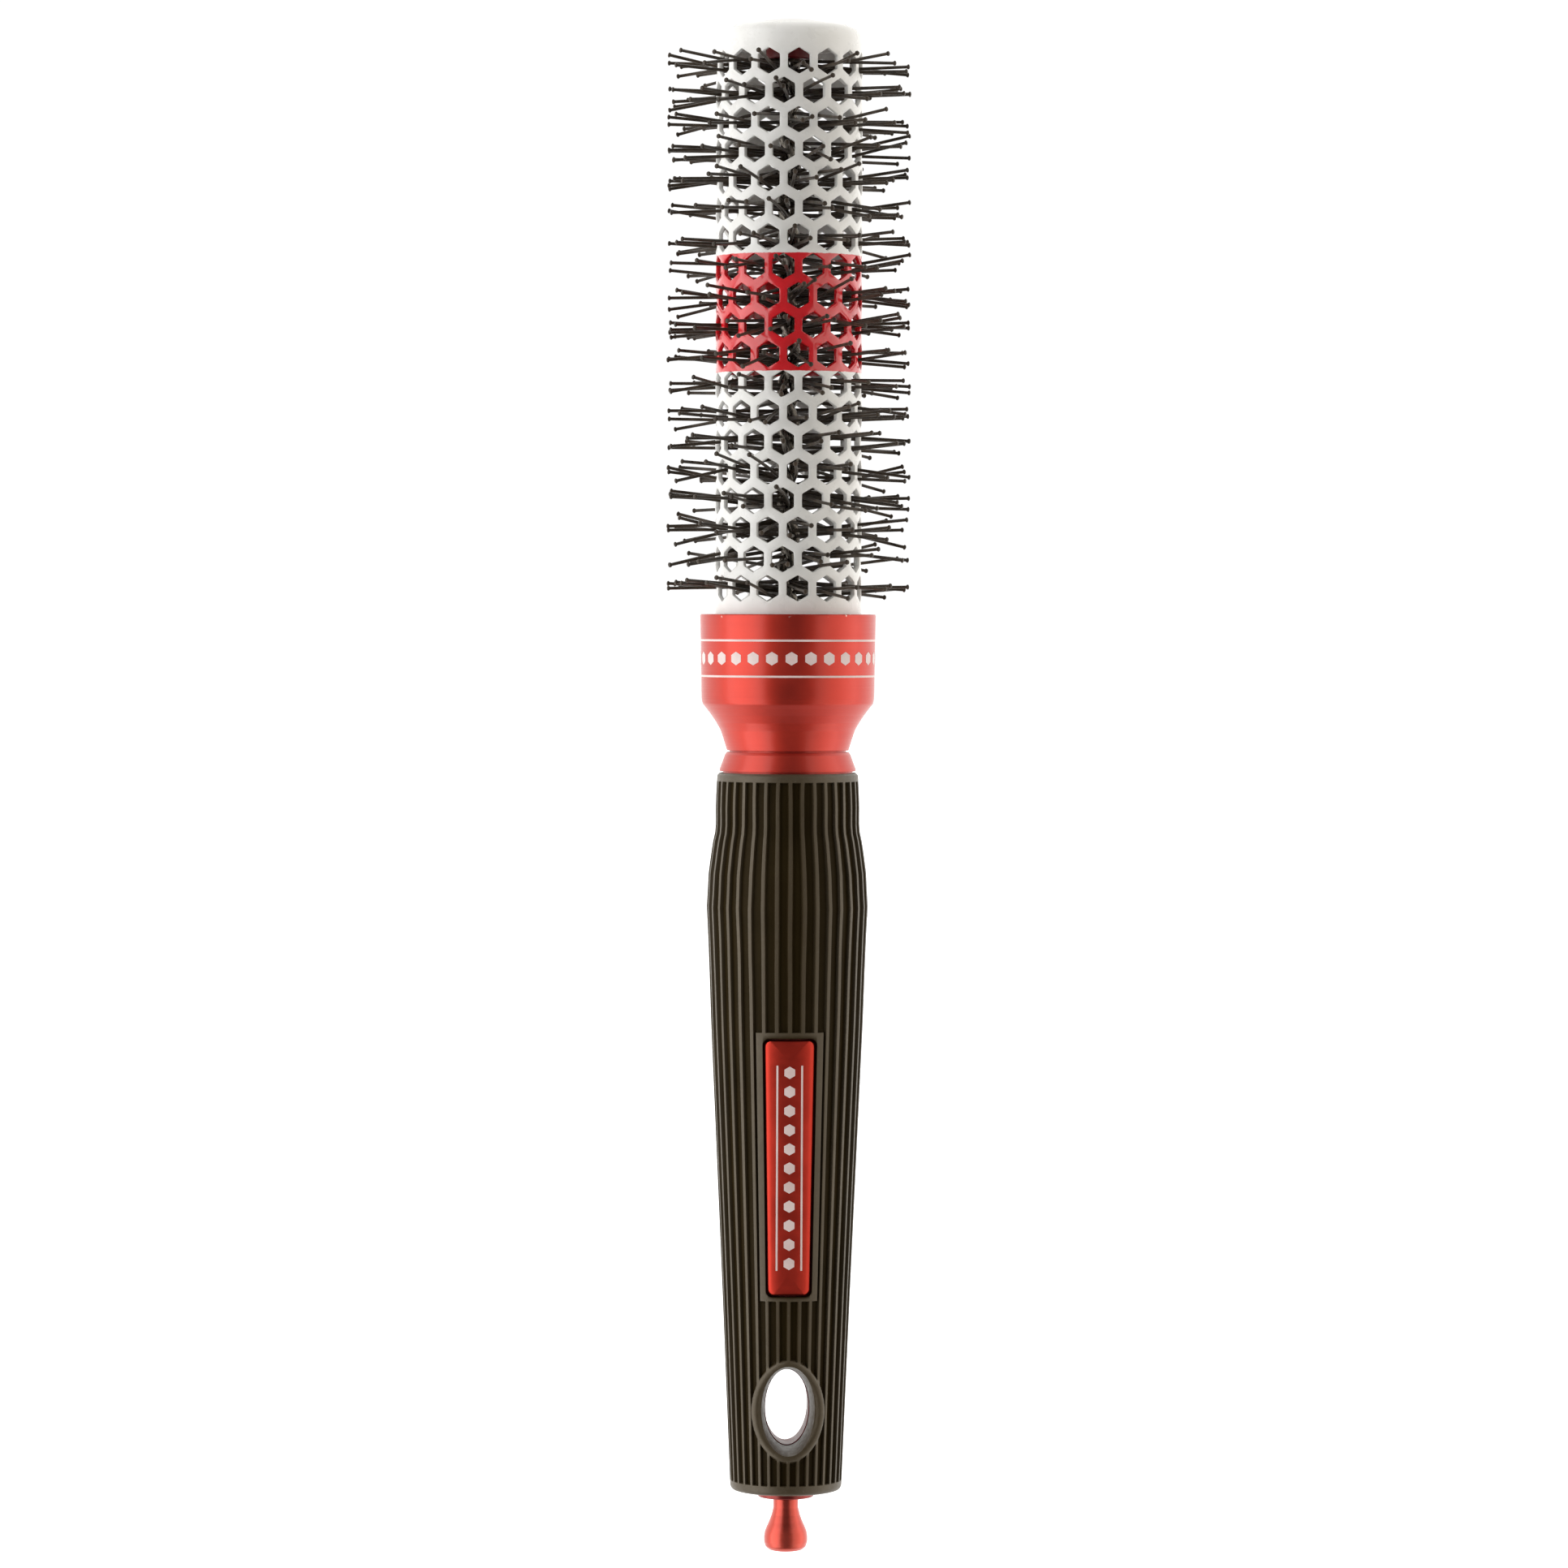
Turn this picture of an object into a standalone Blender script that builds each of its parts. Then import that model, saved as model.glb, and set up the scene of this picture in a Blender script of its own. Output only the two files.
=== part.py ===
"""Vented round hairbrush (radial styling brush), modelled as the real one is assembled.

Metres, +Z up along the brush with the barrel at the top. The origin is the lowest
point of the tail tip, on the brush's axis. The front of the grip faces -Y.
"""

import math

import bpy
import bmesh

MM = 0.001

# ---------------------------------------------------------------- dimensions (mm)
BARREL_R = 12.5            # 25 mm barrel, outside
BARREL_WALL = 0.8
BARREL_RIM_Z = 260.8       # flat rim of the rolled-in top
BARREL_FOOT_Z = 147.5      # the tube stands this deep in the collar
BARREL_LIP_R = 8.8         # opening in the rolled top
SHOULDER_R = 2.3           # roll radius of the top edge

VENT_ROWS = 19
VENTS_PER_ROW = 15
VENT_TOP_Z = 254.0         # centre height of the first row
VENT_PITCH_Z = 4.94
VENT_FLAT = 3.87           # hexagon across flats
VENT_PHASE = 5.3           # degrees, first row; every other row is half a pitch off

BRISTLE_TIP_R = 21.0
BRISTLE_THICK = 0.5
HUB_R = 3.0
HUB_BORE_R = 2.75

WIRE_R = 0.95
WIRE_HELIX_R = 1.12        # from the axis to the middle of each wire
WIRE_PITCH = 12.5
WIRE_TOP_Z = 257.3
WIRE_FOOT_Z = 124.0

COLLAR_TOP_Z = 160.7
CUP_R = 12.85
CUP_FLOOR_Z = 147.1
SPIGOT_R = 6.0             # the core's neck through ferrule and collar
WIRE_BORE_R = 2.5

GRIP_TOP_Z = 133.6
GRIP_FOOT_Z = 10.65
RIBS = 36
RIB_DEPTH = 0.6
FIT_GAP = 0.3

PAD_Z = (44.0, 89.93)      # smooth frame round the badge window
PAD_HALF_ANGLE = 27.0
WINDOW_HALF_ANGLE = 21.0   # degrees
WINDOW_Z = (44.75, 88.87)
BADGE_HALF_ANGLE = 20.0
BADGE_Z = (45.1, 88.52)

EYE_Z = 25.2               # oval hanging hole, half axes in x and z
EYE_THROAT = (3.8, 6.55)
EYE_MOUTH = (4.85, 7.6)
EYE_RIM = (6.3, 8.8)
TANG_HALF = 3.3            # half thickness of the core where the hole passes

GRIP_PROFILE = [           # height, radius over the ribs
    (133.6, 12.03), (132.0, 12.12), (128.3, 12.3), (125.0, 12.27), (123.4, 12.4), (121.6, 12.8),
    (119.5, 13.1), (116.4, 13.5), (113.5, 13.64), (110.6, 13.8), (108.9, 13.7), (104.8, 13.5),
    (99.2, 13.29), (90.8, 13.0), (44.4, 10.93), (11.9, 9.58), (10.65, 9.5),
]
CORE_PROFILE = [(133.6, 9.6), (120.0, 10.2), (110.0, 11.1), (90.0, 10.6), (13.6, 7.3)]


# ---------------------------------------------------------------- helpers
def clear_scene():
    for obj in list(bpy.data.objects):
        bpy.data.objects.remove(obj, do_unlink=True)


def collection(name):
    made = bpy.data.collections.new(name)
    bpy.context.scene.collection.children.link(made)
    return made


def material(name, color, roughness, metallic=0.0):
    mat = bpy.data.materials.new(name)
    mat.use_nodes = True
    shader = mat.node_tree.nodes["Principled BSDF"]
    shader.inputs["Base Color"].default_value = (*color, 1.0)
    shader.inputs["Roughness"].default_value = roughness
    shader.inputs["Metallic"].default_value = metallic
    return mat


def add_object(name, data, where, mat=None):
    obj = bpy.data.objects.new(name, data)
    where.objects.link(obj)
    if mat is not None:
        data.materials.append(mat)
    return obj


def turned(name, profile, where, mat=None, steps=36, closed=False):
    """A turned piece: the profile (radius, height in mm) runs down its outer side."""
    mesh = bpy.data.meshes.new(name)
    points = [(r * MM, 0.0, z * MM) for r, z in profile]
    edges = [(i, i + 1) for i in range(len(points) - 1)]
    if closed:
        edges.append((len(points) - 1, 0))
    mesh.from_pydata(points, edges, [])
    obj = add_object(name, mesh, where, mat)
    screw = obj.modifiers.new("turn", "SCREW")
    screw.axis = "Z"
    screw.angle = 2 * math.pi
    screw.steps = steps
    screw.render_steps = steps
    screw.use_merge_vertices = True
    screw.merge_threshold = 0.00001
    screw.use_smooth_shade = True
    return obj


def boolean(obj, other, operation):
    mod = obj.modifiers.new(operation.lower() + "_" + other.name, "BOOLEAN")
    mod.operation = operation
    mod.solver = "EXACT"
    mod.object = other
    return mod


def lofted(name, rings, where, mat=None):
    """A closed body through rings of the same point count, first to last, capped."""
    bm = bmesh.new()
    made = [[bm.verts.new([c * MM for c in p]) for p in ring] for ring in rings]
    n = len(made[0])
    for low, high in zip(made, made[1:]):
        for i in range(n):
            j = (i + 1) % n
            bm.faces.new((low[i], low[j], high[j], high[i]))
    bm.faces.new(list(reversed(made[0])))
    bm.faces.new(made[-1])
    bmesh.ops.recalc_face_normals(bm, faces=bm.faces)
    mesh = bpy.data.meshes.new(name)
    bm.to_mesh(mesh)
    bm.free()
    return add_object(name, mesh, where, mat)


def box(name, xs, ys, zs, where, mat=None):
    bm = bmesh.new()
    bmesh.ops.create_cube(bm, size=1.0)
    for v in bm.verts:
        v.co.x = (xs[0] if v.co.x < 0 else xs[1]) * MM
        v.co.y = (ys[0] if v.co.y < 0 else ys[1]) * MM
        v.co.z = (zs[0] if v.co.z < 0 else zs[1]) * MM
    mesh = bpy.data.meshes.new(name)
    bm.to_mesh(mesh)
    bm.free()
    return add_object(name, mesh, where, mat)


def eye_ring(a, b, y, n=24):
    """An upright ellipse round the hanging hole's axis, at depth y."""
    turn = 2 * math.pi / n
    return [(a * math.cos(turn * i), y, EYE_Z + b * math.sin(turn * i)) for i in range(n)]


def radius_at(table, z):
    """Piecewise linear radius at height z; the table runs from the top down."""
    for (z1, r1), (z0, r0) in zip(table, table[1:]):
        if z0 <= z <= z1:
            return r0 + (r1 - r0) * (z - z0) / (z1 - z0)
    return table[0][1] if z > table[0][0] else table[-1][1]


# ---------------------------------------------------------------- the barrel
def perforated_barrel(where, mat):
    """The tube's outer skin as a honeycomb wrapped round the axis, thickened inwards."""
    corner = VENT_FLAT / math.sqrt(3)
    step = 360.0 / VENTS_PER_ROW
    half = math.degrees(VENT_FLAT / 2 / BARREL_R)
    n = VENTS_PER_ROW
    bm = bmesh.new()

    def vert(angle, z, r=BARREL_R):
        a = math.radians(angle)
        return bm.verts.new((r * math.sin(a) * MM, -r * math.cos(a) * MM, z * MM))

    # corners of each vent, clockwise from the top one
    vents = []
    for k in range(VENT_ROWS):
        z = VENT_TOP_Z - VENT_PITCH_Z * k
        row = []
        for j in range(n):
            a = VENT_PHASE + step * j - (step / 2 if k % 2 else 0.0)
            row.append([
                vert(a, z + corner), vert(a + half, z + corner / 2),
                vert(a + half, z - corner / 2), vert(a, z - corner),
                vert(a - half, z - corner / 2), vert(a - half, z + corner / 2),
            ])
        vents.append(row)

    # the web: one strut on each of three sides of a vent, and a node at two corners
    for k in range(VENT_ROWS):
        for j in range(n):
            here, right = vents[k][j], vents[k][(j + 1) % n]
            bm.faces.new((here[2], right[4], right[5], here[1]))
            if k + 1 < VENT_ROWS:
                shift = 0 if k % 2 == 0 else -1
                low_left = vents[k + 1][(j + shift) % n]
                low_right = vents[k + 1][(j + shift + 1) % n]
                bm.faces.new((here[4], low_left[0], low_left[1], here[3]))
                bm.faces.new((here[3], low_right[5], low_right[0], here[2]))
                bm.faces.new((here[3], low_left[1], low_right[5]))
                bm.faces.new((here[2], low_right[0], right[4]))

    def band(edge, rings):
        """Plain wall from a zigzag row edge to rings at the given (radius, height)."""
        angles = [math.degrees(math.atan2(v.co.x, -v.co.y)) for v in edge]
        previous = edge
        for r, z in rings:
            ring = [vert(a, z, r) for a in angles]
            for i in range(len(ring)):
                j = (i + 1) % len(ring)
                bm.faces.new((previous[i], previous[j], ring[j], ring[i]))
            previous = ring

    top = [v for vent in vents[0] for v in (vent[5], vent[0], vent[1])]
    bottom = [v for vent in vents[-1] for v in (vent[4], vent[3], vent[2])]
    bend = BARREL_RIM_Z - SHOULDER_R
    roll = [
        (BARREL_R - SHOULDER_R * (1 - math.cos(t)), bend + SHOULDER_R * math.sin(t))
        for t in (0.0, math.radians(45), math.radians(90))
    ]
    band(top, roll + [(BARREL_LIP_R, BARREL_RIM_Z)])
    band(bottom, [(BARREL_R, BARREL_FOOT_Z)])

    bmesh.ops.recalc_face_normals(bm, faces=bm.faces)
    side = max(bm.faces, key=lambda f: f.calc_center_median().x)
    side.normal_update()
    if side.normal.x < 0:
        bmesh.ops.reverse_faces(bm, faces=bm.faces)
    mesh = bpy.data.meshes.new("barrel_tube")
    bm.to_mesh(mesh)
    bm.free()
    obj = add_object("barrel_tube", mesh, where, mat)
    shell = obj.modifiers.new("wall", "SOLIDIFY")
    shell.thickness = BARREL_WALL * MM
    shell.offset = -1.0
    shell.use_even_offset = True
    return obj


# ---------------------------------------------------------------- bristles and wire
def bristle_row(index, where, mat):
    """One row of bristles, joined at the root where the twisted wire grips them."""
    step = 360.0 / VENTS_PER_ROW
    phase = VENT_PHASE - (0.0 if index % 2 else step / 2)
    curve = bpy.data.curves.new(f"bristle_row_{index:02d}", "CURVE")
    curve.dimensions = "2D"
    curve.fill_mode = "BOTH"
    curve.extrude = BRISTLE_THICK / 2 * MM

    outline = []
    for j in range(VENTS_PER_ROW):
        a = math.radians(phase + step * j - 90.0)
        before = a - math.radians(step / 2)
        outline.append((HUB_R * math.cos(before), HUB_R * math.sin(before)))
        for side in (-BRISTLE_THICK / 2, BRISTLE_THICK / 2):
            outline.append((
                BRISTLE_TIP_R * math.cos(a) - side * math.sin(a),
                BRISTLE_TIP_R * math.sin(a) + side * math.cos(a),
            ))
    bore = []
    for i in range(6):
        a = math.radians(60 * i)
        bore.append((HUB_BORE_R * math.cos(a), HUB_BORE_R * math.sin(a)))

    for points in (outline, bore):
        spline = curve.splines.new("POLY")
        spline.points.add(len(points) - 1)
        for point, (x, y) in zip(spline.points, points):
            point.co = (x * MM, y * MM, 0.0, 1.0)
        spline.use_cyclic_u = True
    obj = add_object(curve.name, curve, where, mat)
    obj.location.z = (VENT_TOP_Z - VENT_PITCH_Z * (index - 1)) * MM
    return obj


def core_wire(name, phase, where, mat):
    """One of the two wires twisted together down the middle of the barrel."""
    curve = bpy.data.curves.new(name, "CURVE")
    curve.dimensions = "3D"
    curve.bevel_depth = WIRE_R * MM
    curve.bevel_resolution = 2
    curve.use_fill_caps = True
    turns = (WIRE_TOP_Z - WIRE_FOOT_Z) / WIRE_PITCH
    count = int(turns * 7) + 1
    spline = curve.splines.new("POLY")
    spline.points.add(count - 1)
    for i, point in enumerate(spline.points):
        t = i / (count - 1)
        a = phase - 2 * math.pi * turns * t
        z = WIRE_FOOT_Z + (WIRE_TOP_Z - WIRE_FOOT_Z) * t
        point.co = (WIRE_HELIX_R * math.cos(a) * MM, WIRE_HELIX_R * math.sin(a) * MM, z * MM, 1.0)
    return add_object(name, curve, where, mat)


# ---------------------------------------------------------------- the grip
def rib_ring(z, ribbed, padded, radius=None):
    """Points round the grip at height z, a crest and a groove for each rib."""
    crest = radius_at(GRIP_PROFILE, z) if radius is None else radius
    ring = []
    for j in range(RIBS * 2):
        angle = 180.0 / RIBS * j
        from_front = abs((angle + 180.0) % 360.0 - 180.0)
        groove = ribbed and j % 2 and not (padded and from_front < PAD_HALF_ANGLE)
        r = crest - (RIB_DEPTH if groove else 0.0)
        t = math.radians(angle)
        ring.append((r * math.sin(t), -r * math.cos(t), z))
    return ring


def grip_sleeve(where, cutters, mat):
    stations = [
        (GRIP_FOOT_Z, False, False, 8.85), (11.4, False, False, 9.5), (12.4, False, False, None),
        (12.5, True, False, None), (PAD_Z[0], True, False, None), (PAD_Z[0] + 0.1, True, True, None),
        (PAD_Z[1] - 0.1, True, True, None), (PAD_Z[1], True, False, None),
        *[(z, True, False, None) for z, _ in reversed(GRIP_PROFILE) if 95.0 < z < 132.05],
        (132.1, False, False, None), (133.2, False, False, 11.98), (GRIP_TOP_Z, False, False, 11.65),
    ]
    rings = [rib_ring(z, ribbed, padded, r) for z, ribbed, padded, r in stations]
    sleeve = lofted("grip_sleeve", rings, where, mat)

    # raised oval rims round the two mouths of the hanging hole
    rim = lofted("cut_rim", [eye_ring(*EYE_RIM, y, 32) for y in (-14.0, 14.0)], cutters)
    low, high = 12.0, 40.0
    skin = turned("cut_rim_skin", [
        (0, high), (radius_at(GRIP_PROFILE, high) + 0.35, high),
        (radius_at(GRIP_PROFILE, low) + 0.35, low), (0, low),
    ], cutters, steps=48)
    boolean(rim, skin, "INTERSECT")
    boolean(sleeve, rim, "UNION")

    # the cavity that the core fills, with flats beside the hole
    top_z, top_r = CORE_PROFILE[0]
    foot_z, foot_r = CORE_PROFILE[-1]
    cavity = turned("cut_cavity", [
        (0, top_z + 3), (top_r + FIT_GAP, top_z + 3),
        *[(r + FIT_GAP, z) for z, r in CORE_PROFILE[1:-1]],
        (foot_r + FIT_GAP, foot_z - FIT_GAP), (1.9, foot_z - FIT_GAP), (1.9, 8.0), (0, 8.0),
    ], cutters, steps=24)
    for side in (-1, 1):
        near, far = side * (TANG_HALF + FIT_GAP), side * 14.0
        flat = box(
            f"cut_cavity_flat_{'front' if side < 0 else 'back'}",
            (-12, 12), (min(near, far), max(near, far)), (EYE_Z - 9.0, EYE_Z + 9.0), cutters)
        boolean(cavity, flat, "DIFFERENCE")
    boolean(sleeve, cavity, "DIFFERENCE")

    # the mouths narrow to the hole; the window shows the badge
    flare = (EYE_MOUTH[0] + 0.9, EYE_MOUTH[1] + 0.9)
    mouth = [(-14.0, flare), (-10.0, EYE_MOUTH), (-3.2, EYE_THROAT), (3.2, EYE_THROAT), (10.0, EYE_MOUTH), (14.0, flare)]
    funnel = lofted("cut_mouth", [eye_ring(a, b, y) for y, (a, b) in mouth], cutters)
    boolean(sleeve, funnel, "DIFFERENCE")

    low, high = WINDOW_Z
    sine = math.sin(math.radians(WINDOW_HALF_ANGLE))
    wl, wh = radius_at(GRIP_PROFILE, low) * sine, radius_at(GRIP_PROFILE, high) * sine
    c = 1.0
    half_outline = [(wl - c, low), (wl, low + c), (wh, high - c), (wh - c, high)]
    outline = half_outline + [(-x, z) for x, z in reversed(half_outline)]
    window = lofted("cut_window", [[(x, y, z) for x, z in outline] for y in (-16.0, -5.0)], cutters)
    boolean(sleeve, window, "DIFFERENCE")
    return sleeve


def badge_plate(where, mat):
    """A curved insert that stands on the core and fills the window."""
    rings = []
    for z, inset in ((BADGE_Z[0], 1.0), (BADGE_Z[0] + 1.0, 0.0), (BADGE_Z[1] - 1.0, 0.0), (BADGE_Z[1], 1.0)):
        outer = radius_at(GRIP_PROFILE, z) - 0.45
        inner = radius_at(CORE_PROFILE, z) + FIT_GAP
        half = BADGE_HALF_ANGLE - math.degrees(inset / outer)
        angles = [math.radians(-half + 2 * half * i / 6) for i in range(7)]
        ring = [(outer * math.sin(t), -outer * math.cos(t), z) for t in angles]
        ring += [(inner * math.sin(t), -inner * math.cos(t), z) for t in reversed(angles)]
        rings.append(ring)
    return lofted("badge_plate", rings, where, mat)


def handle_core(where, cutters, mat):
    """The stiff core: neck, body, and a flat tang that the hanging hole goes through."""
    neck_top = CUP_FLOOR_Z - 0.1
    core = turned("handle_core", [
        (0, neck_top), (SPIGOT_R, neck_top), (SPIGOT_R, CORE_PROFILE[0][0]),
        *[(r, z) for z, r in CORE_PROFILE], (1.8, CORE_PROFILE[-1][0]), (1.8, 17.5), (0, 17.5),
    ], where, mat, steps=24)
    bore = turned("cut_core_bore", [
        (0, neck_top + 2.0), (WIRE_BORE_R, neck_top + 2.0), (WIRE_BORE_R, WIRE_FOOT_Z - 1.0), (0, WIRE_FOOT_Z - 1.0),
    ], cutters, steps=24)
    boolean(core, bore, "DIFFERENCE")
    for side in (-1, 1):
        near, far = side * TANG_HALF, side * 14.0
        flat = box(
            f"cut_core_flat_{'front' if side < 0 else 'back'}",
            (-12, 12), (min(near, far), max(near, far)), (EYE_Z - 9.3, EYE_Z + 9.3), cutters)
        boolean(core, flat, "DIFFERENCE")
    hole = lofted("cut_core_hole", [eye_ring(*EYE_THROAT, y) for y in (-9.0, 9.0)], cutters)
    boolean(core, hole, "DIFFERENCE")
    return core


# ---------------------------------------------------------------- the brush
def main():
    clear_scene()
    parts = collection("round_hairbrush")
    cutters = collection("cutters")

    ceramic = material("white_ceramic", (0.86, 0.86, 0.84), 0.35)
    cap_white = material("cap_white", (0.84, 0.84, 0.82), 0.4)
    red_collar = material("red_anodised_collar", (0.62, 0.035, 0.03), 0.32, 0.85)
    red_ferrule = material("red_anodised_ferrule", (0.62, 0.035, 0.03), 0.32, 0.85)
    red_badge = material("red_badge", (0.6, 0.04, 0.035), 0.35, 0.7)
    red_tip = material("red_tail", (0.55, 0.05, 0.04), 0.3, 0.85)
    red_washer = material("red_washer", (0.5, 0.03, 0.03), 0.35, 0.6)
    red_plug = material("red_plug", (0.25, 0.008, 0.01), 0.35)
    red_core = material("red_core_plastic", (0.3, 0.02, 0.02), 0.45)
    steel = material("wire_steel", (0.35, 0.34, 0.33), 0.3, 1.0)
    nylon = material("bristle_nylon", (0.03, 0.022, 0.018), 0.4)
    rubber = material("grip_rubber", (0.075, 0.065, 0.055), 0.65)
    natural = material("bush_plastic", (0.7, 0.7, 0.68), 0.5)

    perforated_barrel(parts, ceramic)
    turned("end_cap", [
        (0, 262.0), (2.6, 262.0), (4.4, 261.75), (6.4, 261.4), (8.2, 261.05), (8.5, 260.9), (8.5, 259.7),
        (10.2, 259.7), (11.0, 259.2), (11.35, 258.5), (11.35, 257.2), (10.2, 257.2),
        (10.2, 258.4), (4.3, 258.4), (4.3, 260.2), (0, 260.2),
    ], parts, cap_white, steps=28)
    turned("end_plug", [
        (0, 259.9), (4.0, 259.9), (4.0, 255.2), (WIRE_BORE_R, 255.2), (WIRE_BORE_R, 257.8), (0, 257.8),
    ], parts, red_plug, steps=20)
    core_wire("core_wire_a", 0.0, parts, steel)
    core_wire("core_wire_b", math.pi, parts, steel)
    for index in range(1, VENT_ROWS + 1):
        bristle_row(index, parts, nylon)

    turned("barrel_bush", [
        (WIRE_BORE_R, 160.0), (10.9, 160.0), (11.35, 159.5), (11.35, CUP_FLOOR_Z + 0.3), (WIRE_BORE_R, CUP_FLOOR_Z + 0.3),
    ], parts, natural, steps=24, closed=True)
    turned("collar_cup", [
        (CUP_R, COLLAR_TOP_Z), (14.85, COLLAR_TOP_Z), (15.0, 160.5), (14.88, 154.8), (14.79, 147.7),
        (14.74, 146.3), (14.58, 145.45), (13.97, 144.7), (13.07, 143.5), (12.2, 142.2), (11.5, 140.85),
        (11.03, 139.45), (10.69, 138.35), (10.4, 137.45),
        (SPIGOT_R + FIT_GAP, 137.45), (SPIGOT_R + FIT_GAP, CUP_FLOOR_Z), (CUP_R, CUP_FLOOR_Z),
    ], parts, red_collar, steps=36, closed=True)
    turned("ferrule_ring", [
        (SPIGOT_R + FIT_GAP, 137.15), (10.45, 137.15), (10.76, 136.7), (11.26, 135.3), (11.67, 134.2), (11.65, 133.9),
        (SPIGOT_R + FIT_GAP, 133.9),
    ], parts, red_ferrule, steps=36, closed=True)
    handle_core(parts, cutters, red_core)
    grip_sleeve(parts, cutters, rubber)
    badge_plate(parts, red_badge)
    turned("tail_washer", [
        (1.85, 10.35), (4.7, 10.35), (4.8, 10.2), (4.8, 9.55), (4.65, 9.4), (1.85, 9.4),
    ], parts, red_washer, steps=24, closed=True)
    turned("tail_tip", [
        (0, 17.1), (1.5, 17.1), (1.5, 9.2), (2.13, 9.1), (2.14, 7.5), (2.42, 6.3), (2.88, 5.05),
        (3.28, 4.2), (3.59, 3.4), (3.74, 2.5), (3.73, 1.65), (3.48, 0.8), (2.85, 0.25), (1.7, 0.0), (0, 0.0),
    ], parts, red_tip, steps=20)

    for obj in cutters.objects:
        obj.hide_render = True
        obj.display_type = "WIRE"


main()
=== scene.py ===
"""Looks for the vented round hairbrush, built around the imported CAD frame.

All lengths below are millimetres in the CAD frame: origin at the foot of the tail tip,
+Z up the brush, -Y out of the front of the grip.
"""

import math
import random

import bmesh
import bpy
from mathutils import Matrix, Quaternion, Vector


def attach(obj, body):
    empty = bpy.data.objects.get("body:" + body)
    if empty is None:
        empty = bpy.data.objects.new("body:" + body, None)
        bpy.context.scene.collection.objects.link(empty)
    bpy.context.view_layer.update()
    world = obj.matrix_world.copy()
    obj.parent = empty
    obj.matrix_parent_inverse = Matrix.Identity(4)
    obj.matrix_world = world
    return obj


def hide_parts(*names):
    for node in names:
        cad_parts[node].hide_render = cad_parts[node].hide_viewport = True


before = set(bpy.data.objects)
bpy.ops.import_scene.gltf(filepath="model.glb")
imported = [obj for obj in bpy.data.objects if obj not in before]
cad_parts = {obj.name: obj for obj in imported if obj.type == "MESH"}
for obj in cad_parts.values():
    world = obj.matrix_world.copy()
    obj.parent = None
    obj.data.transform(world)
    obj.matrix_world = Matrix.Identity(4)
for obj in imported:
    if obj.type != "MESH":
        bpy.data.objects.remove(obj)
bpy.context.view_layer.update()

MM = 0.001
TAU = 2 * math.pi

# ------------------------------------------------------------------ sizes from the CAD
BARREL_R, BARREL_WALL = 12.5, 0.8
BARREL_RIM_Z, BARREL_FOOT_Z, LIP_R = 260.8, 147.5, 8.8
ROWS, PER_ROW = 19, 15
VENT_TOP_Z, VENT_PITCH_Z, VENT_FLAT, VENT_PHASE = 254.0, 4.94, 3.87, 5.3
BAND_Z = (201.8, 221.7)
GRIP_TOP_Z, GRIP_FOOT_Z = 133.6, 10.65
GRIP_PROFILE = [
    (133.6, 12.03), (132.0, 12.12), (128.3, 12.3), (125.0, 12.27), (123.4, 12.4), (121.6, 12.8),
    (119.5, 13.1), (116.4, 13.5), (113.5, 13.64), (110.6, 13.8), (108.9, 13.7), (104.8, 13.5),
    (99.2, 13.29), (90.8, 13.0), (44.4, 10.93), (11.9, 9.58), (10.65, 9.5),
]
CORE_PROFILE = [(133.6, 9.6), (120.0, 10.2), (110.0, 11.1), (90.0, 10.6), (13.6, 7.3)]
RIBS, RIB_DEPTH, FIT_GAP = 36, 0.6, 0.3
PAD_Z, PAD_HALF = (44.0, 89.93), 26.5
WINDOW_Z, WINDOW_HALF = (44.75, 88.87), 21.0
BADGE_Z, BADGE_HALF = (45.1, 88.52), 20.0
EYE_Z, EYE_THROAT, EYE_MOUTH, EYE_RIM = 25.2, (3.8, 6.55), (4.85, 7.6), (6.3, 8.8)
TANG_HALF = 3.3


def table_at(table, z):
    for (z1, r1), (z0, r0) in zip(table, table[1:]):
        if z0 <= z <= z1:
            return r0 + (r1 - r0) * (z - z0) / (z1 - z0)
    return table[0][1] if z > table[0][0] else table[-1][1]


def smoothstep(low, high, x):
    t = max(0.0, min(1.0, (x - low) / (high - low)))
    return t * t * (3 - 2 * t)


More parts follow.
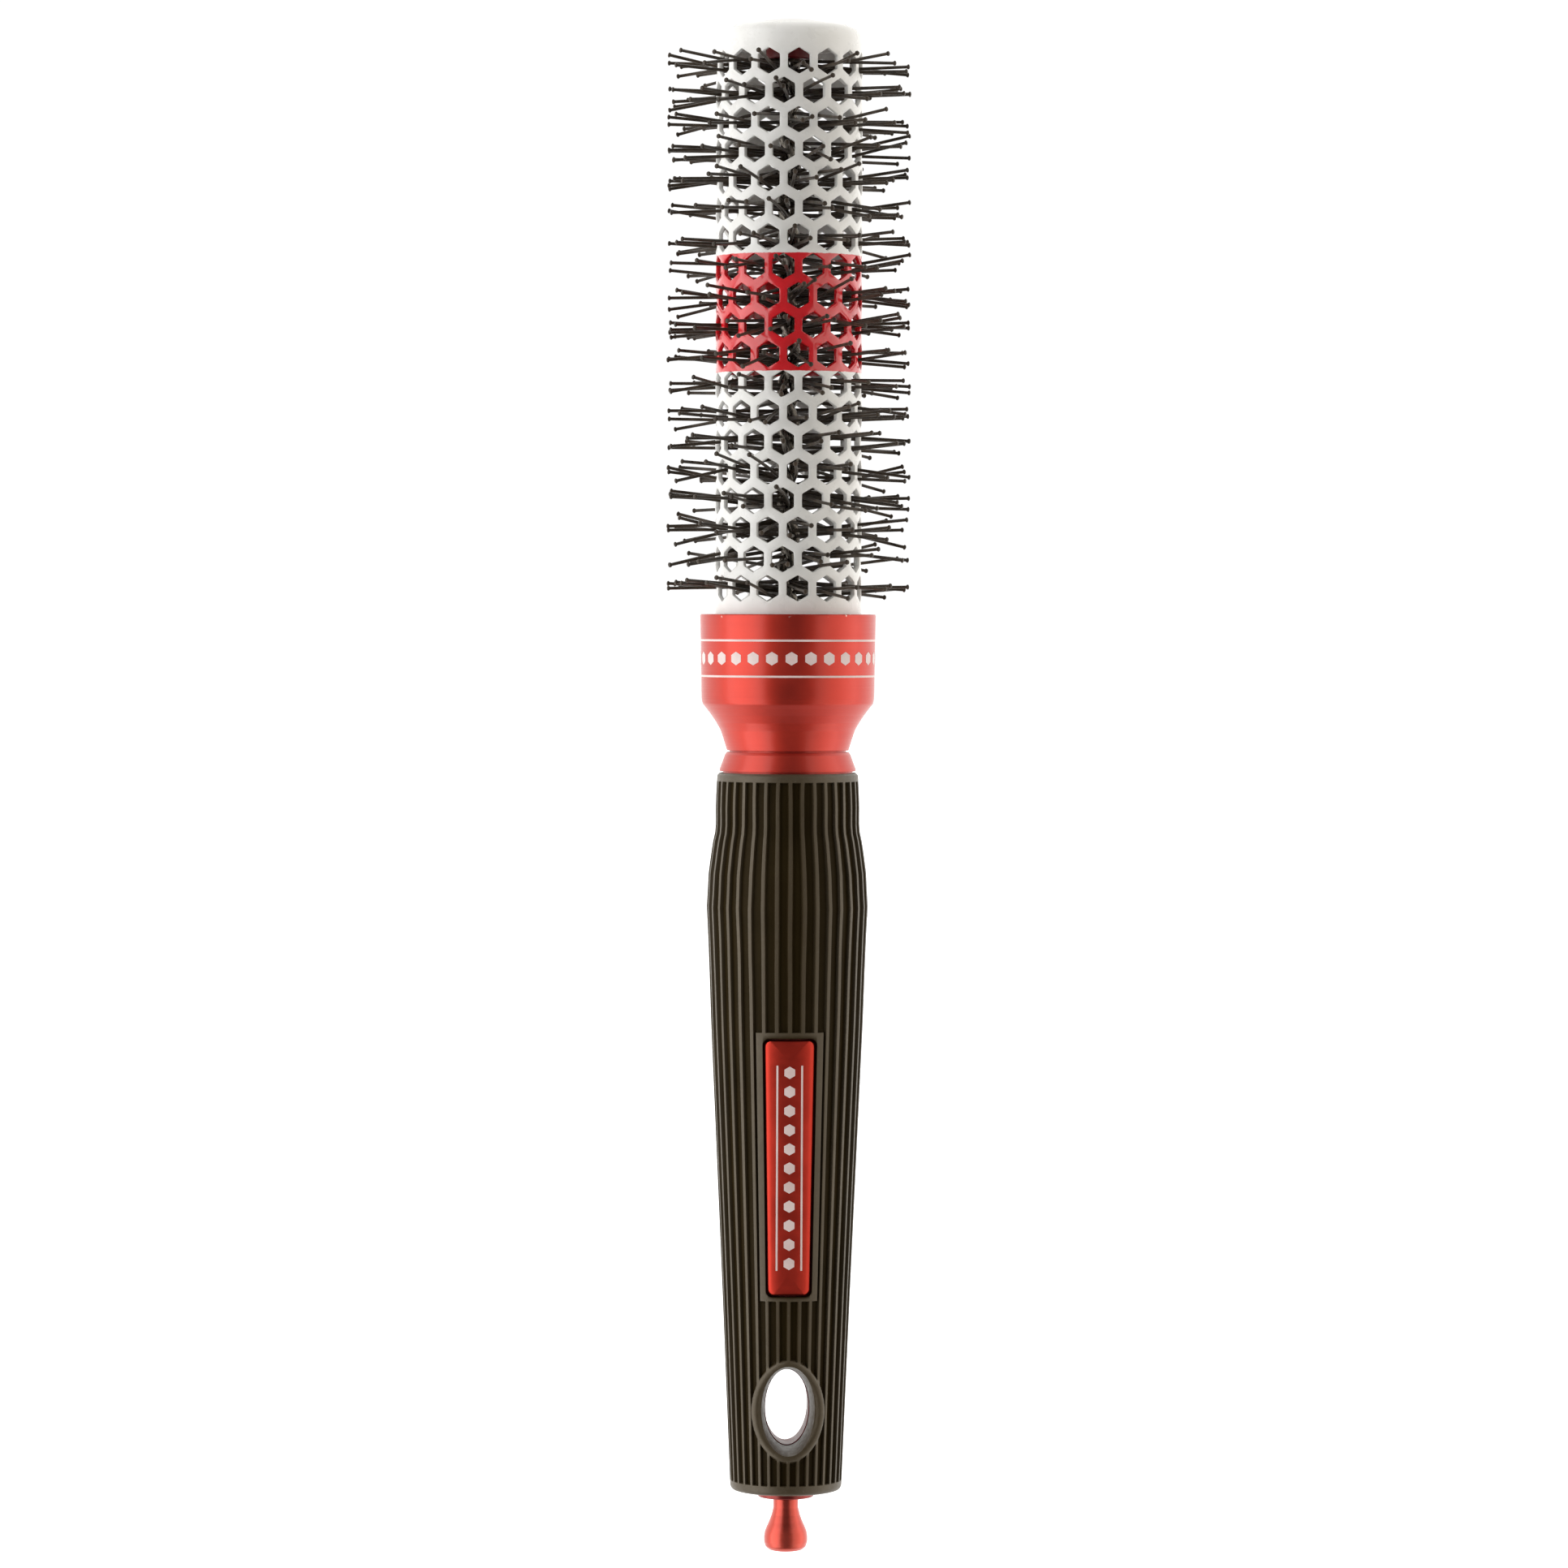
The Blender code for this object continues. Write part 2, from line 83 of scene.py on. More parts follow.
# ------------------------------------------------------------------ material kit
class Nodes:
    """A thin wrapper for building a Principled material node by node."""

    def __init__(self, name, **values):
        self.mat = bpy.data.materials.new(name)
        self.mat.use_nodes = True
        self.tree = self.mat.node_tree
        self.shader = self.tree.nodes["Principled BSDF"]
        self.coords = self.add("ShaderNodeTexCoord").outputs["Object"]
        for key, value in values.items():
            self.set(key.replace("_", " ").title().replace("Ior", "IOR"), value)

    def add(self, kind, **settings):
        node = self.tree.nodes.new(kind)
        for key, value in settings.items():
            setattr(node, key, value)
        return node

    def set(self, socket, value):
        target = self.shader.inputs[socket]
        if isinstance(value, bpy.types.NodeSocket):
            self.tree.links.new(value, target)
        elif isinstance(value, tuple):
            target.default_value = (*value, 1.0) if len(value) == 3 else value
        else:
            target.default_value = value

    def link(self, source, target):
        self.tree.links.new(source, target)

    def stretched(self, scale):
        """Object coordinates in metres, multiplied per axis."""
        node = self.add("ShaderNodeMapping")
        node.inputs["Scale"].default_value = scale
        self.link(self.coords, node.inputs["Vector"])
        return node.outputs["Vector"]

    def noise(self, scale, detail=4.0, rough=0.55, vector=None):
        node = self.add("ShaderNodeTexNoise")
        node.inputs["Scale"].default_value = scale
        node.inputs["Detail"].default_value = detail
        node.inputs["Roughness"].default_value = rough
        self.link(vector or self.coords, node.inputs["Vector"])
        return node.outputs["Fac"]

    def remap(self, value, in_low, in_high, out_low, out_high):
        node = self.add("ShaderNodeMapRange")
        node.clamp = True
        self.link(value, node.inputs["Value"])
        for key, v in (("From Min", in_low), ("From Max", in_high), ("To Min", out_low), ("To Max", out_high)):
            node.inputs[key].default_value = v
        return node.outputs["Result"]

    def math(self, operation, a, b=0.0):
        node = self.add("ShaderNodeMath", operation=operation)
        for i, v in enumerate((a, b)):
            if isinstance(v, bpy.types.NodeSocket):
                self.link(v, node.inputs[i])
            else:
                node.inputs[i].default_value = v
        return node.outputs[0]

    def mix(self, factor, a, b):
        node = self.add("ShaderNodeMix", data_type="RGBA")
        for index, v in ((0, factor), (6, a), (7, b)):
            if isinstance(v, bpy.types.NodeSocket):
                self.link(v, node.inputs[index])
            elif isinstance(v, tuple):
                node.inputs[index].default_value = (*v, 1.0)
            else:
                node.inputs[index].default_value = v
        return node.outputs[2]

    def height(self):
        node = self.add("ShaderNodeSeparateXYZ")
        self.link(self.coords, node.inputs[0])
        return node.outputs["Z"]

    def attribute(self, name):
        return self.add("ShaderNodeAttribute", attribute_name=name).outputs["Fac"]

    def bump(self, height, distance, strength=1.0):
        node = self.add("ShaderNodeBump")
        node.inputs["Strength"].default_value = strength
        node.inputs["Distance"].default_value = distance
        self.link(height, node.inputs["Height"])
        self.link(node.outputs["Normal"], self.shader.inputs["Normal"])


def ceramic_material():
    m = Nodes("white_ceramic", specular_ior_level=0.5, coat_roughness=0.14)
    tone = m.noise(180.0, 3.0)
    white = m.mix(m.remap(tone, 0.35, 0.65, 0.0, 1.0), (0.85, 0.845, 0.815), (0.90, 0.895, 0.875))
    red = m.mix(m.remap(m.noise(260.0), 0.35, 0.65, 0.0, 1.0), (0.66, 0.002, 0.009), (0.76, 0.004, 0.014))
    # the band's edges wander a few hundredths of a millimetre, as sprayed paint does
    z = m.math("ADD", m.height(), m.remap(m.noise(900.0), 0.3, 0.7, -0.00006, 0.00006))
    above = m.remap(z, BAND_Z[0] * MM - 0.00006, BAND_Z[0] * MM + 0.00006, 0.0, 1.0)
    below = m.remap(z, BAND_Z[1] * MM - 0.00006, BAND_Z[1] * MM + 0.00006, 1.0, 0.0)
    band = m.math("MULTIPLY", above, below)
    m.set("Base Color", m.mix(band, white, red))
    m.set("Coat Weight", m.remap(band, 0.0, 1.0, 0.25, 1.0))
    m.set("Specular IOR Level", m.remap(band, 0.0, 1.0, 0.5, 0.12))
    m.set("Coat IOR", m.remap(band, 0.0, 1.0, 1.5, 1.75))
    m.set("Roughness", m.remap(m.noise(420.0, 5.0), 0.3, 0.7, 0.24, 0.36))
    m.bump(m.noise(2600.0, 3.0), 0.00002, 0.35)
    return m.mat


def anodised_material(name, light, dark, roughness=(0.24, 0.36), chips=None, lathe_marks=0.16, coat=0.5):
    """Satin anodised red aluminium with faint turning lines round the axis."""
    m = Nodes(name, metallic=1.0, coat_weight=coat, coat_ior=1.6, coat_roughness=0.22)
    lines = m.noise(1.0, 3.0, 0.6, m.stretched((60.0, 60.0, 5200.0)))
    cloud = m.noise(140.0, 4.0)
    color = m.mix(m.remap(cloud, 0.35, 0.65, 0.0, 1.0), dark, light)
    rough = m.math("ADD", m.remap(cloud, 0.3, 0.7, *roughness), m.remap(lines, 0.3, 0.7, -0.03, 0.03))
    metal = 1.0
    if chips:
        low, high = chips
        near = m.remap(m.height(), low * MM, high * MM, 0.0, 1.0)
        speck = m.remap(m.noise(700.0, 2.0, 0.5), 0.69, 0.715, 0.0, 1.0)
        worn = m.math("MULTIPLY", near, speck)
        color = m.mix(worn, color, (0.80, 0.62, 0.55))
    m.set("Base Color", color)
    m.set("Roughness", rough)
    m.bump(lines, 0.000006, lathe_marks)
    return m.mat


def rubber_material():
    """Soft-touch rubber: paler on the rib crests, partly from wear and partly as painted light, and darker in the
    grooves as painted shade.
    """
    m = Nodes("grip_rubber", specular_tint=(1.0, 0.90, 0.76))
    crest = m.attribute("crest")
    grain = m.noise(1500.0, 5.0, 0.6)
    cloud = m.noise(90.0, 4.0)
    # painted shade: the groove tone is darkened to stand for shade down in the grooves; the crest tone is partly wear
    # and partly painted light
    low = m.mix(m.remap(cloud, 0.3, 0.7, 0.0, 1.0), (0.019, 0.0122, 0.0036), (0.028, 0.0184, 0.0062))
    high = m.mix(m.remap(cloud, 0.3, 0.7, 0.0, 1.0), (0.045, 0.032, 0.016), (0.060, 0.044, 0.024))
    body = m.mix(crest, low, high)
    dust = m.remap(m.noise(3200.0, 2.0), 0.70, 0.76, 0.0, 0.28)
    m.set("Base Color", m.mix(m.math("MULTIPLY", dust, crest), body, (0.22, 0.20, 0.17)))
    m.set("Specular IOR Level", m.remap(crest, 0.0, 1.0, 0.05, 0.70))
    m.set("Roughness", m.remap(grain, 0.3, 0.7, 0.33, 0.50))
    m.bump(grain, 0.00004, 0.45)
    return m.mat


def nylon_material():
    m = Nodes("bristle_nylon", specular_ior_level=0.28)
    streak = m.noise(520.0, 3.0)
    m.set("Base Color", m.mix(m.remap(streak, 0.3, 0.7, 0.0, 1.0), (0.022, 0.0155, 0.0100), (0.066, 0.048, 0.033)))
    m.set("Roughness", m.remap(m.noise(1400.0), 0.3, 0.7, 0.28, 0.45))
    m.bump(m.noise(4000.0, 2.0), 0.00001, 0.3)
    return m.mat


def steel_material():
    m = Nodes("wire_steel", metallic=1.0)
    drawn = m.noise(1.0, 4.0, 0.6, m.stretched((2400.0, 2400.0, 260.0)))
    m.set("Base Color", m.mix(m.remap(drawn, 0.3, 0.7, 0.0, 1.0), (0.05, 0.044, 0.036), (0.34, 0.31, 0.27)))
    m.set("Roughness", m.remap(drawn, 0.3, 0.7, 0.18, 0.34))
    m.bump(drawn, 0.00001, 0.4)
    return m.mat


def moulded_material(name, dark, light, roughness, grain=1800.0):
    m = Nodes(name, specular_ior_level=0.5)
    cloud = m.noise(160.0, 4.0)
    m.set("Base Color", m.mix(m.remap(cloud, 0.35, 0.65, 0.0, 1.0), dark, light))
    m.set("Roughness", m.remap(m.noise(500.0), 0.3, 0.7, roughness - 0.05, roughness + 0.08))
    m.bump(m.noise(grain, 3.0), 0.00002, 0.3)
    return m.mat


# ------------------------------------------------------------------ mesh kit
def build(name, verts, faces, mat, angle=32.0, weld=True, attribute=None):
    """A mesh piece from points in millimetres, smooth but for edges sharper than angle."""
    mesh = bpy.data.meshes.new(name)
    mesh.from_pydata([(x * MM, y * MM, z * MM) for x, y, z in verts], [], faces)
    if attribute is not None:
        label, values = attribute
        layer = mesh.attributes.new(label, "FLOAT", "POINT")
        layer.data.foreach_set("value", values)
    bm = bmesh.new()
    bm.from_mesh(mesh)
    if weld:
        bmesh.ops.remove_doubles(bm, verts=bm.verts, dist=1e-7)
        bmesh.ops.dissolve_degenerate(bm, edges=bm.edges, dist=1e-8)
    bmesh.ops.recalc_face_normals(bm, faces=bm.faces)
    bm.to_mesh(mesh)
    bm.free()
    mesh.polygons.foreach_set("use_smooth", [True] * len(mesh.polygons))
    mesh.set_sharp_from_angle(angle=math.radians(angle))
    mesh.materials.append(mat)
    obj = bpy.data.objects.new(name, mesh)
    bpy.context.scene.collection.objects.link(obj)
    return obj


def piece(obj, slot, *nodes):
    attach(obj, "root")
    if nodes:
        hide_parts(*nodes)
    return obj


def filleted(points, closed, steps=5):
    """Profile points (r, z, fillet radius) with each corner rounded to its radius."""
    out, n = [], len(points)
    for i, p in enumerate(points):
        radius = p[2] if len(p) > 2 else 0.0
        if radius <= 0 or (not closed and i in (0, n - 1)):
            out.append((p[0], p[1]))
            continue
        here = Vector(p[:2])
        a = Vector(points[i - 1][:2]) - here
        b = Vector(points[(i + 1) % n][:2]) - here
        la, lb = a.length, b.length
        a.normalize()
        b.normalize()
        half = math.acos(max(-1.0, min(1.0, a.dot(b)))) / 2
        if half > math.radians(89):
            out.append((p[0], p[1]))
            continue
        reach = min(radius / math.tan(half), la * 0.45, lb * 0.45)
        start, end = here + a * reach, here + b * reach
        for k in range(steps + 1):
            t = k / steps
            q = start * (1 - t) ** 2 + here * 2 * t * (1 - t) + end * t * t
            out.append((q.x, q.y))
    return out


def lathe_data(points, closed=True, seg=128):
    """Rings round the axis. Points on the axis collapse and are welded later."""
    verts, faces = [], []
    for r, z in points:
        for j in range(seg):
            a = TAU * j / seg
            verts.append((r * math.sin(a), -r * math.cos(a), z))
    count = len(points)
    for i in range(count if closed else count - 1):
        k = (i + 1) % count
        for j in range(seg):
            m = (j + 1) % seg
            faces.append((i * seg + j, i * seg + m, k * seg + m, k * seg + j))
    return verts, faces


def lathe(name, points, mat, closed=True, seg=128, angle=32.0):
    return build(name, *lathe_data(filleted(points, closed), closed, seg), mat, angle)


def cut(obj, cutter, operation="DIFFERENCE"):
    """Applies an exact Boolean to obj and removes the cutter."""
    mod = obj.modifiers.new("cut", "BOOLEAN")
    mod.operation = operation
    mod.solver = "EXACT"
    mod.object = cutter
    bpy.context.view_layer.update()
    graph = bpy.context.evaluated_depsgraph_get()
    result = bpy.data.meshes.new_from_object(obj.evaluated_get(graph), depsgraph=graph)
    obj.modifiers.remove(mod)
    old = obj.data
    obj.data = result
    bpy.data.meshes.remove(old)
    bpy.data.objects.remove(cutter, do_unlink=True)


def cutter_from(name, verts, faces):
    return build(name, verts, faces, scratch, 180.0)


def loft(rings):
    n = len(rings[0])
    verts = [p for ring in rings for p in ring]
    faces = []
    for i in range(len(rings) - 1):
        for j in range(n):
            k = (j + 1) % n
            faces.append((i * n + j, i * n + k, (i + 1) * n + k, (i + 1) * n + j))
    faces.append(tuple(reversed(range(n))))
    faces.append(tuple((len(rings) - 1) * n + j for j in range(n)))
    return verts, faces


scratch = bpy.data.materials.new("scratch")
ceramic = ceramic_material()
red_collar = anodised_material("red_collar", (0.56, 0.040, 0.022), (0.49, 0.033, 0.018), (0.43, 0.52), chips=(160.0, 160.6))
red_ferrule = anodised_material("red_ferrule", (0.49, 0.037, 0.021), (0.43, 0.030, 0.017), (0.42, 0.51))
red_tail = anodised_material("red_tail", (0.60, 0.075, 0.047), (0.52, 0.058, 0.036), (0.33, 0.43), lathe_marks=0.05)
# the washer's red is painted darker than the tail's, as painted shade where the grip's foot overhangs it
red_washer = anodised_material("red_washer", (0.30, 0.030, 0.024), (0.24, 0.024, 0.019), (0.34, 0.44))
red_badge = anodised_material("red_badge", (0.72, 0.056, 0.034), (0.62, 0.046, 0.028), (0.34, 0.44), coat=0.1)
rubber = rubber_material()
nylon = nylon_material()
steel = steel_material()
cap_white = moulded_material("cap_white", (0.78, 0.77, 0.745), (0.84, 0.83, 0.81), 0.36)
plug_red = moulded_material("plug_red", (0.15, 0.004, 0.006), (0.24, 0.008, 0.010), 0.32)
core_red = moulded_material("core_red", (0.24, 0.018, 0.016), (0.36, 0.035, 0.028), 0.40)
bush_white = moulded_material("bush_plastic", (0.60, 0.59, 0.55), (0.70, 0.69, 0.65), 0.5)
print_white = moulded_material("print_white", (0.72, 0.56, 0.54), (0.84, 0.70, 0.68), 0.45, 3200.0)


# ------------------------------------------------------------------ barrel
def make_barrel():
    """A honeycomb of cells wrapped round the axis, each with a rounded, bevelled vent."""
    pitch = TAU * BARREL_R / PER_ROW
    cell_top = (pitch * pitch / 4 + VENT_PITCH_Z ** 2) / (2 * VENT_PITCH_Z)
    cell_side = VENT_PITCH_Z / 2 - pitch * pitch / (8 * VENT_PITCH_Z)
    stops = (0.0, 0.065, 0.2, 0.5, 0.8, 0.935)

    def hexagon(half, top, side, round_by=0.0):
        corners = [(0, top), (half, side), (half, -side), (0, -top), (-half, -side), (-half, side)]
        ring = []
        for i, (x0, z0) in enumerate(corners):
            x1, z1 = corners[(i + 1) % 6]
            for t in stops:
                x, z = x0 + (x1 - x0) * t, z0 + (z1 - z0) * t
                if t == 0.0 and round_by:
                    length = math.hypot(x, z)
                    x, z = x * (1 - round_by / length), z * (1 - round_by / length)
                ring.append((x, z))
        return ring

    def vent(grow):
        half = VENT_FLAT / 2 + grow
        top = half * 2 / math.sqrt(3)
        return hexagon(half, top, top / 2, 0.045)

    cell = hexagon(pitch / 2, cell_top, cell_side)
    inner_r = BARREL_R - BARREL_WALL
    layers = [
        (cell, BARREL_R), (vent(0.20), BARREL_R), (vent(0.07), BARREL_R - 0.04), (vent(0.0), BARREL_R - 0.16),
        (vent(0.0), inner_r + 0.12), (vent(0.10), inner_r), (cell, inner_r),
    ]
    verts, faces = [], []
    n = len(cell)

    def place(x, z, r):
        a = x / BARREL_R
        return (r * math.sin(a), -r * math.cos(a), z)

    for k in range(ROWS):
        z0 = VENT_TOP_Z - VENT_PITCH_Z * k
        phase = math.radians(VENT_PHASE - (180.0 / PER_ROW if k % 2 else 0.0))
        for j in range(PER_ROW):
            x0 = (phase + TAU * j / PER_ROW) * BARREL_R
            base = len(verts)
            for ring, r in layers:
                verts += [place(x0 + x, z0 + z, r) for x, z in ring]
            for i in range(len(layers) - 1):
                for m in range(n):
                    q = (m + 1) % n
                    faces.append((base + i * n + m, base + i * n + q, base + (i + 1) * n + q, base + (i + 1) * n + m))

    def plain_end(row, upper, profile):
        """Rings from a row's outer zigzag, along the profile, to its inner zigzag."""
        z0 = VENT_TOP_Z - VENT_PITCH_Z * row
        phase = math.radians(VENT_PHASE - (180.0 / PER_ROW if row % 2 else 0.0))
        half_cell = cell[-len(stops):] + cell[:len(stops)] if upper else cell[2 * len(stops):4 * len(stops)]
        edge = []
        for j in range(PER_ROW):
            x0 = (phase + TAU * j / PER_ROW) * BARREL_R
            points = half_cell if upper else list(reversed(half_cell))
            if not upper:
                # start each cell at its left corner, so that rings run one way round
                points = [(-pitch / 2, -cell_side)] + [p for p in points if abs(p[0] + pitch / 2) > 1e-6]
                points = [p for p in points if abs(p[0] - pitch / 2) > 1e-6]
            edge += [(x0 + x, z0 + z) for x, z in points]
        rings = [[place(x, z, BARREL_R) for x, z in edge]]
        rings += [[place(x, z, r) for x, _ in edge] for r, z in profile]
        rings.append([place(x, z, inner_r) for x, z in edge])
        base, m = len(verts), len(edge)
        for ring in rings:
            verts.extend(ring)
        for i in range(len(rings) - 1):
            for j in range(m):
                q = (j + 1) % m
                faces.append((base + i * m + j, base + i * m + q, base + (i + 1) * m + q, base + (i + 1) * m + j))

    roll, bend = 2.3, BARREL_RIM_Z - 2.3
    top = [(BARREL_R, VENT_TOP_Z + cell_top + 0.15)]
    top += [
        (BARREL_R - roll * (1 - math.cos(t)), bend + roll * math.sin(t))
        for t in [math.radians(90 * i / 9) for i in range(10)]
    ]
    top += [(LIP_R + 0.2, BARREL_RIM_Z), (LIP_R + 0.05, BARREL_RIM_Z - 0.05), (LIP_R, BARREL_RIM_Z - 0.2)]
    top += [(LIP_R, BARREL_RIM_Z - BARREL_WALL)]
    inner_roll = roll - BARREL_WALL
    top += [
        (BARREL_R - roll + inner_roll * math.cos(t), bend + inner_roll * math.sin(t))
        for t in [math.radians(90 - 90 * i / 6) for i in range(7)]
    ]
    plain_end(0, True, top)
    last = VENT_TOP_Z - VENT_PITCH_Z * (ROWS - 1) - cell_top
    plain_end(ROWS - 1, False, [
        (BARREL_R, last - 0.15), (BARREL_R, BARREL_FOOT_Z + 0.1), (BARREL_R - 0.1, BARREL_FOOT_Z),
        (inner_r + 0.1, BARREL_FOOT_Z), (inner_r, BARREL_FOOT_Z + 0.1), (inner_r, last - 0.15),
    ])
    return piece(build("barrel", verts, faces, ceramic, 38.0), "barrel_tube", "barrel_tube")


# ------------------------------------------------------------------ bristles
def tube_along(path, radii, sides=8):
    """A closed tube through the path with a radius at each point."""
    verts, faces = [], []
    for i, p in enumerate(path):
        ahead = path[min(i + 1, len(path) - 1)] - path[max(i - 1, 0)]
        ahead.normalize()
        across = ahead.cross(Vector((0.0, 0.0, 1.0)) if abs(ahead.z) < 0.8 else Vector((1.0, 0.0, 0.0))).normalized()
        other = across.cross(ahead).normalized()
        for j in range(sides):
            a = TAU * j / sides
            q = p + (across * math.cos(a) + other * math.sin(a)) * radii[i]
            verts.append(tuple(q))
    for i in range(len(path) - 1):
        for j in range(sides):
            k = (j + 1) % sides
            faces.append((i * sides + j, i * sides + k, (i + 1) * sides + k, (i + 1) * sides + j))
    faces.append(tuple(reversed(range(sides))))
    faces.append(tuple((len(path) - 1) * sides + j for j in range(sides)))
    return verts, faces


def make_bristle_row(index):
    """Nylon bristles with ball tips, two or so through each vent, none two quite alike."""
    pick = random.Random(4100 + index)
    z0 = VENT_TOP_Z - VENT_PITCH_Z * (index - 1)
    phase = math.radians(VENT_PHASE - (0.0 if index % 2 else 180.0 / PER_ROW))
    verts, faces = [], []
    for j in range(PER_ROW):
        count = pick.choices((1, 2, 3), (0.28, 0.60, 0.12))[0]
        for c in range(count):
            # where it crosses the barrel wall, inside the vent
            side = (c - (count - 1) / 2) * 1.25 + pick.uniform(-0.35, 0.35)
            side = max(-1.35, min(1.35, side))
            lift = pick.uniform(-1.15, 1.15)
            slope = max(-0.24, min(0.24, pick.gauss(0.0, 0.11)))
            skew = math.radians(max(-6.0, min(6.0, pick.gauss(0.0, 3.2))))
            a_wall = phase + TAU * j / PER_ROW + side / 12.1
            reach = pick.uniform(20.12, 20.39)
            a_tip = a_wall + skew * 0.5
            a_root = a_wall - skew * 0.6
            # the foot leans so that the wall crossing stays inside the vent
            foot = Vector((1.0 * math.sin(a_root), -1.0 * math.cos(a_root), z0 + lift - 11.1 * slope))
            wall = Vector((12.1 * math.sin(a_wall), -12.1 * math.cos(a_wall), z0 + lift))
            tip = Vector((reach * math.sin(a_tip), -reach * math.cos(a_tip), z0 + lift + (reach - 12.1) * slope))
            foot.z = max(VENT_TOP_Z - VENT_PITCH_Z * (ROWS - 1) - 3.5, min(VENT_TOP_Z + 1.0, foot.z))
            path, radii = [], []
            for t in (0.0, 0.2, 0.4, 0.6, 0.8, 1.0):
                mid = foot * (1 - t) + tip * t
                bow = (wall - (foot * 0.43 + tip * 0.57)) * (4 * t * (1 - t))
                path.append(mid + bow)
                radii.append(0.295 - 0.025 * t)
            ahead = (path[-1] - path[-2]).normalized()
            end = path[-1]
            for step, r in ((0.06, 0.32), (0.15, 0.40), (0.28, 0.445), (0.40, 0.41), (0.48, 0.29), (0.525, 0.14)):
                path.append(end + ahead * step)
                radii.append(r)
            v, f = tube_along(path, radii)
            base = len(verts)
            verts += v
            faces += [tuple(base + i for i in face) for face in f]
    name = f"bristles_{index:02d}"
    return piece(build(name, verts, faces, nylon, 50.0, weld=False), "bristle_nylon", f"bristle_row_{index:02d}")


def make_wire(name, phase, node):
    low, high, pitch = 124.0, 257.3, 12.5
    turns = (high - low) / pitch
    count = int(turns * 20)
    path = []
    for i in range(count + 1):
        t = i / count
        a = phase - TAU * turns * t
        path.append(Vector((1.12 * math.cos(a), 1.12 * math.sin(a), low + (high - low) * t)))
    radii = [0.6] + [0.95] * (count - 1) + [0.6]
    return piece(build(name, *tube_along(path, radii, 14), steel, 60.0, weld=False), "wire_steel", node)


# ------------------------------------------------------------------ grip
def grip_height(angle, z, p):
    """Radius of the grip's outer skin, and how much of a crest the point is on."""
    crest = table_at(GRIP_PROFILE, z)
    from_front = abs((angle + 180.0) % 360.0 - 180.0)
    rib = 1.0 - smoothstep(0.125, 0.205, abs(p))
    smooth = max(smoothstep(132.02, 132.18, z), 1 - smoothstep(12.35, 12.5, z))
    pad = (1 - smoothstep(PAD_HALF - 0.25, PAD_HALF + 0.25, from_front))
    pad *= smoothstep(PAD_Z[0] - 0.08, PAD_Z[0] + 0.08, z) * (1 - smoothstep(PAD_Z[1] - 0.08, PAD_Z[1] + 0.08, z))
    x = crest * math.sin(math.radians(angle))
    e = math.hypot(x / EYE_RIM[0], (z - EYE_Z) / EYE_RIM[1])
    rim = 1 - smoothstep(0.985, 1.02, e)
    plain = max(rib, smooth, pad, rim)
    lip = 0.34 * (1 - smoothstep(0.93, 1.01, e)) * smoothstep(0.74, 0.90, e) - 0.35 * (1 - smoothstep(0.74, 0.84, e))
    r = crest - RIB_DEPTH * (1 - plain) + lip
    if z > 133.0:
        r -= 0.35 * smoothstep(133.0, GRIP_TOP_Z, z) ** 2
    if z < 11.55:
        t = (11.55 - z) / 0.9
        r -= 0.7 * (1 - math.sqrt(max(0.0, 1 - min(1.0, t) ** 2)))
    return r, plain


def rib_drift(j, z):
    """Degrees that rib j strays sideways at height z."""
    fade = smoothstep(96.0, 104.0, z) * (1 - smoothstep(130.4, 132.0, z))
    return 0.42 * fade * math.sin(z / 6.1 + 2.4 * (j % RIBS)) * math.sin(0.9 * (j % RIBS) + 0.7)


